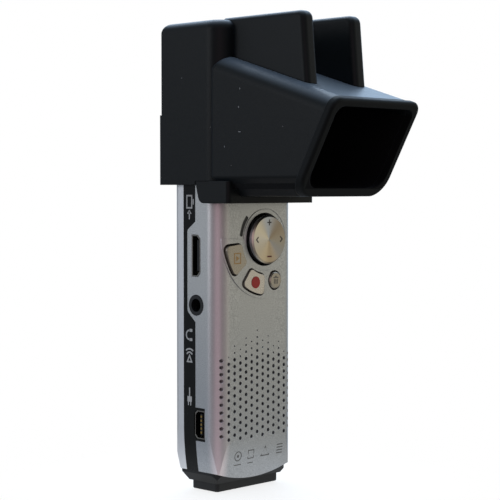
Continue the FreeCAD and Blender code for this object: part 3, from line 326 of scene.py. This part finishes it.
def brushed_disc():
    """Circular brushing, with painted reflections: warm and cool wedges of light round the middle.
    """
    line_tone = (0.9, 0.88, 0.84)
    side_tone = (0.55, 0.56, 0.58)
    side_rough = (0.12, 0.12, 0.12)
    s = Surface("brushed_disc")
    centre = middle_of("dpad_cap")
    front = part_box("dpad_cap")[0].y
    x, y, z = s.axes()
    across = s.calc("SUBTRACT", x, centre.x)
    up = s.calc("SUBTRACT", z, centre.z)
    turn = s.scaled(s.calc("ARCTAN2", up, across), 0.5 / math.pi, 0.5)
    lines = s.noise(scale=14000, detail=3.0, at=s.radius(across, up), dimensions="1D")
    side = s.step(y, front + 0.35 * MM, front + 0.5 * MM)
    face = s.mix(s.times(lines, 0.3), s.ramp(turn, PAINTED_REFLECTION_WEDGES, "B_SPLINE"), line_tone)
    s.set(base_color=s.mix(side, face, side_tone), metallic=1.0)
    s.set(roughness=s.mix(side, s.scaled(lines, 0.12, 0.24), side_rough))
    s.set(anisotropic=0.75)
    tangent = s.node("ShaderNodeTangent", direction_type="RADIAL", axis="Y")
    s.set(tangent=tangent.outputs["Tangent"])
    s.relief(lines, distance=0.01 * MM, strength=0.3, edge=0.12 * MM)
    return s.material


def metal(name, colour, roughness):
    s = Surface(name)
    streak = s.noise(scale=2500, detail=3.0)
    tint = s.ramp(streak, [(0.3, shaded(colour, 0.85)), (0.7, colour)])
    s.set(base_color=tint, metallic=1.0)
    s.set(roughness=s.scaled(streak, 0.1, roughness - 0.05))
    s.relief(streak, distance=0.01 * MM, strength=0.3, edge=0.08 * MM)
    return s.material


def plastic(name, colour, roughness, coat=0.0):
    s = Surface(name)
    grain = s.noise(scale=1800, detail=3.0)
    tint = s.ramp(grain, [(0.3, shaded(colour, 0.88)), (0.7, colour)])
    s.set(base_color=tint, roughness=s.scaled(grain, 0.08, roughness - 0.04))
    s.set(coat_weight=coat)
    s.relief(grain, distance=0.01 * MM, strength=0.25)
    return s.material


def board_mask():
    """Green solder mask with a grid of paler tracks."""
    s = Surface("board")
    tracks_per_metre = 900
    z = s.axes()[2]
    rows = s.calc("PINGPONG", s.times(z, tracks_per_metre), 0.5)
    tracks = s.times(s.noise(scale=900, detail=1.0), rows)
    s.set(base_color=s.ramp(tracks, [(0.15, (0.01, 0.07, 0.03)), (0.3, (0.03, 0.16, 0.06))]))
    s.set(roughness=0.35)
    s.relief(tracks, distance=0.03 * MM, strength=0.5)
    return s.material


def coated_lens():
    """Dark coated glass with a violet to green sheen towards its edge."""
    s = Surface("lens_glass")
    black = (0.002, 0.002, 0.004)
    violet = (0.012, 0.006, 0.03)
    green = (0.004, 0.02, 0.018)
    x, _, z = s.axes()
    up = s.calc("SUBTRACT", z, middle_of("lens_glass").z)
    share = s.calc("DIVIDE", s.radius(x, up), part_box("lens_glass")[1].x)
    stops = [(0.0, black), (0.55, violet), (1.0, green)]
    s.set(base_color=s.ramp(share, stops), roughness=0.04, coat_weight=0.6)
    return s.material


MATERIALS = {
    "silver_paint": silver_paint(),
    "black_gloss": black_gloss(),
    "black_matte": black_matte("black_matte", (0.016, 0.017, 0.018)),
    "hood_plastic": hood_plastic(),
    "brushed_disc": brushed_disc(),
    "key_silver": key_silver(),
    "red_spot": plastic("red_spot", (0.62, 0.006, 0.005), roughness=0.35, coat=0.15),
    "connector_metal": metal("connector_metal", (0.30, 0.28, 0.25), roughness=0.22),
    "contact_plastic": plastic("contact_plastic", (0.012, 0.012, 0.013), roughness=0.25),
    "brass": metal("brass", (0.78, 0.56, 0.26), roughness=0.28),
    "steel": metal("steel", (0.52, 0.52, 0.53), roughness=0.35),
    "dark_glass": plastic("dark_glass", (0.004, 0.004, 0.005), roughness=0.3),
    "lens_glass": coated_lens(),
    "board": board_mask(),
    "cell_wrap": plastic("cell_wrap", (0.04, 0.05, 0.22), roughness=0.3, coat=0.3),
    "panel": plastic("panel", (0.015, 0.016, 0.02), roughness=0.2),
    "rubber": black_matte("rubber", (0.03, 0.03, 0.031), grain_scale=2500),
}
for part in frame["record"]["subparts"]:
    mesh = nodes[part["node"]].data
    mesh.materials.clear()
    mesh.materials.append(MATERIALS[part["material_slot"]])


# --- marks laid on the surfaces ------------------------------------------------------------


def skin_of(*names):
    """The surfaces of some CAD nodes, to lay marks on."""
    corners = []
    faces = []
    for name in names:
        mesh = nodes[name].data
        start = len(corners)
        corners += [vertex.co.copy() for vertex in mesh.vertices]
        faces += [[start + i for i in polygon.vertices] for polygon in mesh.polygons]
    return BVHTree.FromPolygons(corners, faces)


def ribbon(points, width, closed=False):
    """Quads of a stroke of one width along a line of points."""
    count = len(points)
    sides = []
    for i, point in enumerate(points):
        before = points[i - 1] if i or closed else point
        after = points[(i + 1) % count] if i + 1 < count or closed else point
        run_in = (Vector(point) - Vector(before)).normalized() if before != point else None
        run_out = (Vector(after) - Vector(point)).normalized() if after != point else None
        run_in = run_in or run_out
        run_out = run_out or run_in
        along = (run_in + run_out).normalized()
        stretch = 1.0 / max(along.dot(run_in), 0.4)
        offset = Vector((-along.y, along.x)) * (width / 2 * stretch)
        sides.append((Vector(point) - offset, Vector(point) + offset))
    last = count if closed else count - 1
    return [
        [sides[i][0], sides[(i + 1) % count][0], sides[(i + 1) % count][1], sides[i][1]]
        for i in range(last)
    ]


def arc(centre, radius, start, end, steps=14):
    """Points along an arc; angles in degrees."""
    angles = [math.radians(start + (end - start) * i / steps) for i in range(steps + 1)]
    return [(centre[0] + radius * math.cos(a), centre[1] + radius * math.sin(a)) for a in angles]


def ring(centre, radius, steps):
    """Points round a whole circle."""
    return arc(centre, radius, 0, 360, steps)[:-1]


def box_outline(low_u, low_v, high_u, high_v):
    return [(low_u, low_v), (high_u, low_v), (high_u, high_v), (low_u, high_v)]


# Marks start this far above a surface when pressed onto it, and are sunk this far into it.
MARK_START = 6
MARK_SINK = 0.02


def lay_mark(name, body, skin, polygons, origin, u_axis, v_axis, proud=0.03):
    """Flat shapes in millimetres, pressed onto a surface that faces along u x v."""
    outward = u_axis.cross(v_axis)
    mesh = bpy.data.meshes.new(name)
    shape = bmesh.new()
    for polygon in polygons:
        corners = []
        for u, v in polygon:
            above = origin + (u_axis * u + v_axis * v + outward * MARK_START) * MM
            hit = skin.ray_cast(above, -outward)[0]
            if hit is None:
                raise RuntimeError(f"{name} hangs over the edge of its surface")
            corners.append(shape.verts.new(hit - outward * MARK_SINK * MM))
        shape.faces.new(corners)
    bmesh.ops.remove_doubles(shape, verts=shape.verts, dist=0.001 * MM)
    bmesh.ops.recalc_face_normals(shape, faces=shape.faces)
    raised = bmesh.ops.extrude_face_region(shape, geom=list(shape.faces))["geom"]
    tops = [item for item in raised if isinstance(item, bmesh.types.BMVert)]
    bmesh.ops.translate(shape, verts=tops, vec=outward * (proud + MARK_SINK) * MM)
    bmesh.ops.recalc_face_normals(shape, faces=shape.faces)
    shape.to_mesh(mesh)
    shape.free()
    mark = bpy.data.objects.new(name, mesh)
    bpy.context.scene.collection.objects.link(mark)
    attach(mark, body)
    return mark


def ink(name, colour, roughness=0.5, metallic=0.0):
    """Printed ink or foil, slightly uneven."""
    s = Surface(name)
    speck = s.noise(scale=9000, detail=3.0)
    tint = s.ramp(speck, [(0.25, shaded(colour, 0.78)), (0.6, colour)])
    s.set(base_color=tint, roughness=roughness, metallic=metallic)
    s.relief(speck, distance=0.01 * MM, strength=0.3)
    return s.material


def paint(mark, material):
    mark.data.materials.append(material)


UP = Vector((0, 0, 1))
RIGHT = Vector((1, 0, 0))
AHEAD = Vector((0, 1, 0))
white_ink = ink("white_ink", (0.62, 0.63, 0.62))
grey_ink = ink("grey_ink", (0.13, 0.13, 0.125))
gold_ink = ink("gold_ink", (0.50, 0.32, 0.15), roughness=0.35, metallic=0.7)
dark_ink = ink("dark_ink", (0.09, 0.085, 0.08))
red_ink = ink("red_ink", (0.20, 0.035, 0.03))
gold_foil = metal("gold_foil", (0.42, 0.29, 0.10), roughness=0.3)


def port_marks():
    """Plain picture marks on the black stripe, read from the foot upwards."""
    skin = skin_of("side_frame")
    stripe_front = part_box("side_frame")[1].y
    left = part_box("side_frame")[0].x
    hdmi_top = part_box("hdmi_socket")[1].z
    jack_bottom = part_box("av_jack")[0].z
    usb_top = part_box("usb_socket")[1].z
    stroke = 0.42
    cup_stroke = 0.8
    pin_stroke = 0.34
    middle = stripe_front - 2.3 * MM

    def lay(name, z, polygons):
        origin = Vector((left, middle, z))
        mark = lay_mark(name, "camera", skin, polygons, origin, AHEAD, -UP, 0.02)
        paint(mark, white_ink)

    # a display with an arrow into it
    screen = ribbon(box_outline(-0.95, -3.2, 0.95, 0.1), stroke, True)
    stand = ribbon([(-1.5, -2.3), (-1.5, -0.8)], stroke)
    shaft = ribbon([(0, 3.2), (0, 1.1)], stroke)
    head = [[(-0.9, 1.7), (0, 0.6), (0.9, 1.7)]]
    lay("display_mark", hdmi_top + 7.4 * MM, screen + stand + shaft + head)
    # headphones
    shapes = ribbon(arc((0, 0), 1.25, -10, 190), stroke)
    for cup in (-1.25, 1.25):
        shapes += ribbon([(cup, 0), (cup, -1.1)], cup_stroke)
    turned = [[(v, u) for u, v in quad] for quad in shapes]
    lay("headphone_mark", jack_bottom - 5.2 * MM, turned)
    # a picture triangle with two sound arcs
    triangle = ribbon([(-0.85, 1.9), (0.85, 1.9), (0, 0.2)], stroke, True)
    wave_in = ribbon(arc((0, 0.6), 1.3, 215, 325, 8), stroke)
    wave_out = ribbon(arc((0, 0.6), 2.2, 230, 310, 8), stroke)
    lay("picture_sound_mark", jack_bottom - 10.6 * MM, triangle + wave_in + wave_out)
    # a plug, its pins and its lead
    plug = [box_outline(-0.85, -0.2, 0.85, 1.3)]
    for pin in (-0.45, 0.45):
        plug += ribbon([(pin, 1.3), (pin, 2.3)], pin_stroke)
    lead = ribbon([(0, -0.2), (0, -2.6)], stroke)
    lay("plug_mark", usb_top + 3.4 * MM, plug + lead)


def face_marks():
    """Marks on the disc and the keys."""

    def lay(name, body, middle, polygons, material):
        skin = skin_of(body)
        paint(lay_mark(name, body, skin, polygons, middle, RIGHT, UP), material)

    # plus, minus and two chevrons on the disc
    pad = middle_of("dpad_cap")
    out = (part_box("dpad_cap")[1].x - pad.x) / MM * 0.70
    stroke = 0.34
    plus = ribbon([(-0.8, out), (0.8, out)], stroke)
    plus += ribbon([(0, out - 0.8), (0, out + 0.8)], stroke)
    lay("disc_plus", "dpad_cap", pad, plus, dark_ink)
    minus_stroke = 0.4
    lay("disc_minus", "dpad_cap", pad, ribbon([(-0.85, -out), (0.85, -out)], minus_stroke), red_ink)
    for name, way in (("disc_left", -1), ("disc_right", 1)):
        tip = way * (out + 0.45)
        heel = way * (out - 0.35)
        chevron = ribbon([(heel, 0.75), (tip, 0.0), (heel, -0.75)], stroke)
        lay(name, "dpad_cap", pad, chevron, dark_ink)

    # a framed triangle on the play key
    frame_stroke = 0.3
    middle = middle_of("play_button") + RIGHT * 0.15 * MM + UP * 0.3 * MM
    shapes = ribbon(box_outline(-1.15, -1.35, 1.15, 1.35), frame_stroke, True)
    shapes += [[(-0.5, -0.75), (0.65, 0.0), (-0.5, 0.75)]]
    lay("play_mark", "play_button", middle, shapes, gold_ink)

    # a bin on the trash key: its lid, three bars and its handle
    lid_stroke = 0.24
    bar_stroke = 0.26
    shapes = ribbon([(-1.0, 0.75), (1.0, 0.75)], lid_stroke)
    for bar in (-0.6, 0.0, 0.6):
        shapes += ribbon([(bar, 0.35), (bar, -1.0)], bar_stroke)
    shapes += ribbon([(-0.35, 1.1), (0.35, 1.1)], lid_stroke)
    lay("bin_mark", "trash_button", middle_of("trash_button"), shapes, grey_ink)


def back_marks():
    """Small plain shapes in a row near the foot."""
    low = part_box("back_shell")[0]
    origin = Vector((0, low.y, low.z + 6.2 * MM))
    thin = 0.25
    fine = 0.26
    peak_stroke = 0.28
    bar_stroke = 0.3
    eye = (-7.0, 0.4)
    shapes = ribbon(ring(eye, 1.25, 24), fine, True)
    shapes += [ring(eye, 0.4, 20)]
    shapes += ribbon(box_outline(-3.1, -0.7, -0.9, 1.5), fine, True)
    shapes += ribbon([(2.0, -0.6), (5.2, -0.6), (3.6, 1.9)], peak_stroke, True)
    for height in (-0.6, 0.2, 1.0, 1.8):
        shapes += ribbon([(8.2, height), (10.6, height)], bar_stroke)
    for start, end in ((-8.2, -5.6), (-3.1, -0.9)):
        shapes += ribbon([(start, -2.0), (end, -2.0)], thin)
    skin = skin_of("back_shell")
    mark = lay_mark("approval_shapes", "camera", skin, shapes, origin, RIGHT, UP, 0.01)
    paint(mark, grey_ink)


def contacts():
    """Five gold contacts on the tongue of the data socket."""
    low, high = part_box("usb_tongue")
    origin = middle_of("usb_tongue")
    origin.x = low.x
    reach = (high.z - low.z) / 2 / MM * 0.75
    half = 0.3
    gaps = 4
    pins = []
    for pin in range(gaps + 1):
        v = -reach + 2 * reach * pin / gaps
        pins.append(box_outline(-half, v - half, half, v + half))
    skin = skin_of("usb_tongue")
    mark = lay_mark("usb_pins", "camera", skin, pins, origin, AHEAD, -UP, 0.1)
    paint(mark, gold_foil)


def dust():
    """A few specks of lint on the hood's left side."""
    enough_quads = 16
    lowest = 86 * MM
    flat_enough = -0.97
    chance = random.Random(11)
    low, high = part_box("hood_fins")
    skin = skin_of("hood_shell", "hood_tunnel", "hood_fins")
    specks = []
    while len(specks) < enough_quads:
        depth = chance.uniform(low.y, high.y + 12 * MM)
        height = chance.uniform(lowest, high.z - 2 * MM)
        origin = Vector((low.x - 8 * MM, depth, height))
        hit, normal, _, _ = skin.ray_cast(origin, RIGHT)
        if hit is None or normal.x > flat_enough:
            continue
        size = chance.uniform(0.07, 0.17)
        turn = chance.uniform(0, math.pi)
        run = Vector((math.cos(turn), math.sin(turn))) * size * chance.uniform(0.8, 2.4)
        centre = Vector((-hit.y, hit.z)) / MM
        specks += ribbon([tuple(centre - run), tuple(centre), tuple(centre + run * 0.8)], size)
    origin = Vector((low.x - 2 * MM, 0, 0))
    mark = lay_mark("lint_specks", "hood", skin, specks, origin, -AHEAD, UP, 0.02)
    paint(mark, ink("lint", (0.5, 0.52, 0.54), roughness=0.9))


port_marks()
face_marks()
back_marks()
contacts()
dust()


# --- floor, light and camera -------------------------------------------------------------

EYE = Vector((-0.2950, -0.2922, 0.0827))
AZIMUTH = math.radians(-45.84)
ELEVATION = math.radians(2.40)
FOCAL_LENGTH = 108.0
SENSOR_WIDTH = 36.0


def make_camera():
    data = bpy.data.cameras.new("camera")
    data.lens = FOCAL_LENGTH
    data.sensor_width = SENSOR_WIDTH
    data.clip_start = 0.01
    data.clip_end = 10.0
    camera = bpy.data.objects.new("camera", data)
    bpy.context.scene.collection.objects.link(camera)
    away = Vector((
        math.sin(AZIMUTH) * math.cos(ELEVATION),
        -math.cos(AZIMUTH) * math.cos(ELEVATION),
        math.sin(ELEVATION),
    ))
    camera.location = EYE
    camera.rotation_mode = "QUATERNION"
    camera.rotation_quaternion = (-away).to_track_quat("-Z", "Y")
    bpy.context.scene.camera = camera


def make_light(name, place, target, size, power, colour):
    data = bpy.data.lights.new(name, "AREA")
    data.shape = "DISK"
    data.size = size
    data.energy = power
    data.color = colour
    lamp = bpy.data.objects.new(name, data)
    bpy.context.scene.collection.objects.link(lamp)
    lamp.location = place
    lamp.rotation_mode = "QUATERNION"
    lamp.rotation_quaternion = (Vector(target) - Vector(place)).to_track_quat("-Z", "Y")


# Soft regions of the room: where they are, their tint, and how narrow they are.
ROOM = [
    ((0.72, -0.69, 0.0), (0.53, 0.51, 0.43), 5.0),
    ((-0.72, 0.69, 0.0), (0.26, 0.30, 0.36), 5.0),
    ((-0.70, -0.70, 0.1), (0.60, 0.42, 0.48), 14.0),
    ((0.72, 0.55, 0.43), (2.00, 2.70, 3.55), 7.0),
    ((0.0, 0.0, 1.0), (1.10, 1.40, 1.75), 4.0),
]
AMBIENT = (0.12, 0.12, 0.12)
ROOM_STRENGTH = 0.85


def make_world():
    """Plain white to the camera; to the object, a soft room with cool and warm sides."""
    world = bpy.data.worlds.new("studio")
    bpy.context.scene.world = world
    world.use_nodes = True
    tree = world.node_tree

    def node(kind, **settings):
        made = tree.nodes.new(kind)
        for key, value in settings.items():
            setattr(made, key, value)
        return made

    way = node("ShaderNodeTexCoord").outputs["Generated"]
    total = node("ShaderNodeRGB")
    total.outputs[0].default_value = (*AMBIENT, 1)
    total = total.outputs[0]
    for direction, tint, narrow in ROOM:
        facing = node("ShaderNodeVectorMath", operation="DOT_PRODUCT")
        tree.links.new(way, facing.inputs[0])
        facing.inputs[1].default_value = Vector(direction).normalized()
        clipped = node("ShaderNodeMath", operation="MAXIMUM")
        tree.links.new(facing.outputs["Value"], clipped.inputs[0])
        clipped.inputs[1].default_value = 0.0
        lobe = node("ShaderNodeMath", operation="POWER")
        tree.links.new(clipped.outputs[0], lobe.inputs[0])
        lobe.inputs[1].default_value = narrow
        tinted = node("ShaderNodeVectorMath", operation="SCALE")
        tinted.inputs[0].default_value = tint
        tree.links.new(lobe.outputs[0], tinted.inputs["Scale"])
        added = node("ShaderNodeVectorMath", operation="ADD")
        tree.links.new(total, added.inputs[0])
        tree.links.new(tinted.outputs[0], added.inputs[1])
        total = added.outputs[0]
    lit = tree.nodes["Background"]
    tree.links.new(total, lit.inputs["Color"])
    lit.inputs["Strength"].default_value = ROOM_STRENGTH
    seen = node("ShaderNodeBackground")
    seen.inputs["Color"].default_value = (1, 1, 1, 1)
    chosen = node("ShaderNodeMixShader")
    tree.links.new(node("ShaderNodeLightPath").outputs["Is Camera Ray"], chosen.inputs[0])
    tree.links.new(lit.outputs[0], chosen.inputs[1])
    tree.links.new(seen.outputs[0], chosen.inputs[2])
    tree.links.new(chosen.outputs[0], tree.nodes["World Output"].inputs["Surface"])


def make_floor():
    """A pale disc that fades away into the white towards its edge."""
    radius = 0.09
    fade_end = 0.07
    drop = 0.0002
    cover = 0.7
    glow = 0.72
    mesh = bpy.data.meshes.new("floor")
    shape = bmesh.new()
    bmesh.ops.create_circle(shape, cap_ends=True, radius=radius, segments=96)
    shape.to_mesh(mesh)
    shape.free()
    floor = bpy.data.objects.new("floor", mesh)
    bpy.context.scene.collection.objects.link(floor)
    floor.location = (0, 0, cad_bounds[0].z - drop)
    s = Surface("floor")
    reach = s.node("ShaderNodeVectorMath", operation="LENGTH")
    s.feed(reach.inputs[0], s.place)
    speck = s.noise(scale=60, detail=3.0)
    s.set(base_color=s.ramp(speck, [(0.3, (0.34,) * 3), (0.7, (0.38,) * 3)]), roughness=0.85)
    s.set(emission_color=(1.0, 1.0, 1.0), emission_strength=glow)
    s.set(alpha=s.times(s.step(reach.outputs["Value"], fade_end, 0.0), cover))
    mesh.materials.append(s.material)


make_camera()
make_world()
make_floor()
middle = (cad_bounds[0] + cad_bounds[1]) / 2
make_light("sky", (0.25, 0.35, 0.75), middle, size=0.5, power=1.8, colour=(0.82, 0.91, 1.0))
make_light("side", (-0.75, 0.35, 0.25), middle, size=0.4, power=0.7, colour=(0.93, 0.96, 1.0))
bpy.context.scene.view_settings.view_transform = "Standard"
